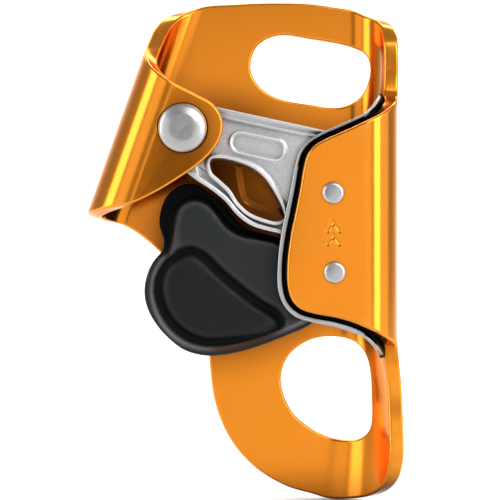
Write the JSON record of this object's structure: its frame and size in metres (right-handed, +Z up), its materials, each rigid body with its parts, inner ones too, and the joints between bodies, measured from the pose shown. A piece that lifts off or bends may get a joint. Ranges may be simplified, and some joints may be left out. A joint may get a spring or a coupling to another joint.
{
  "type": "chest ascender",
  "caption": "Chest-mounted rope clamp: folded anodised frame with two eyes and a rope channel, a sprung toothed cam and a thumb catch that holds it open or closed.",
  "frame": {"origin": "on the cam axle's axis, in the plane of the back plate's flat rear face", "axes": "+Z up the rope towards the upper eye, +X towards the rope channel, +Y out of the rear face towards the wearer's chest; the flap and tab face -Y"},
  "size_m": [0.0645, 0.0216, 0.1026],
  "materials": {
    "anodised_frame": "polished, clear orange anodising",
    "wear_plate": "pressed stainless sheet",
    "plated_steel": "bright plated, polished",
    "washer": "moulded acetal",
    "cast_cam": "bead-blasted investment casting",
    "spring_steel": "drawn wire",
    "catch_nylon": "satin moulded nylon, black"
  },
  "bodies": {
    "frame": {"frame": "anodised_frame", "wear_plate": "wear_plate", "wear_plate_rivet_upper": "plated_steel", "wear_plate_rivet_lower": "plated_steel", "cam_axle": "plated_steel", "cam_washer_front": "washer", "cam_washer_rear": "washer", "cam_spring": "spring_steel"},
    "cam": {"cam": "cast_cam", "catch_pin": "plated_steel", "catch_spring": "spring_steel"},
    "catch": {"safety_catch": "catch_nylon"}
  },
  "joints": [
    {"name": "cam_open", "type": "hinge", "parent": "frame", "child": "cam", "pos_m": [0, 0, 0], "axis": [0, 1, 0], "range_deg": [0, 44], "deforming": ["cam_spring"]},
    {"name": "catch_pull", "type": "hinge", "parent": "cam", "child": "catch", "pos_m": [0.0275, -0.0097, -0.0295], "axis": [0, -1, 0], "range_deg": [0, 38], "deforming": ["catch_spring"]}
  ],
  "couplings": [
    {"joint": "catch_pull", "follows": "cam_open", "ratio": 0.85}
  ]
}
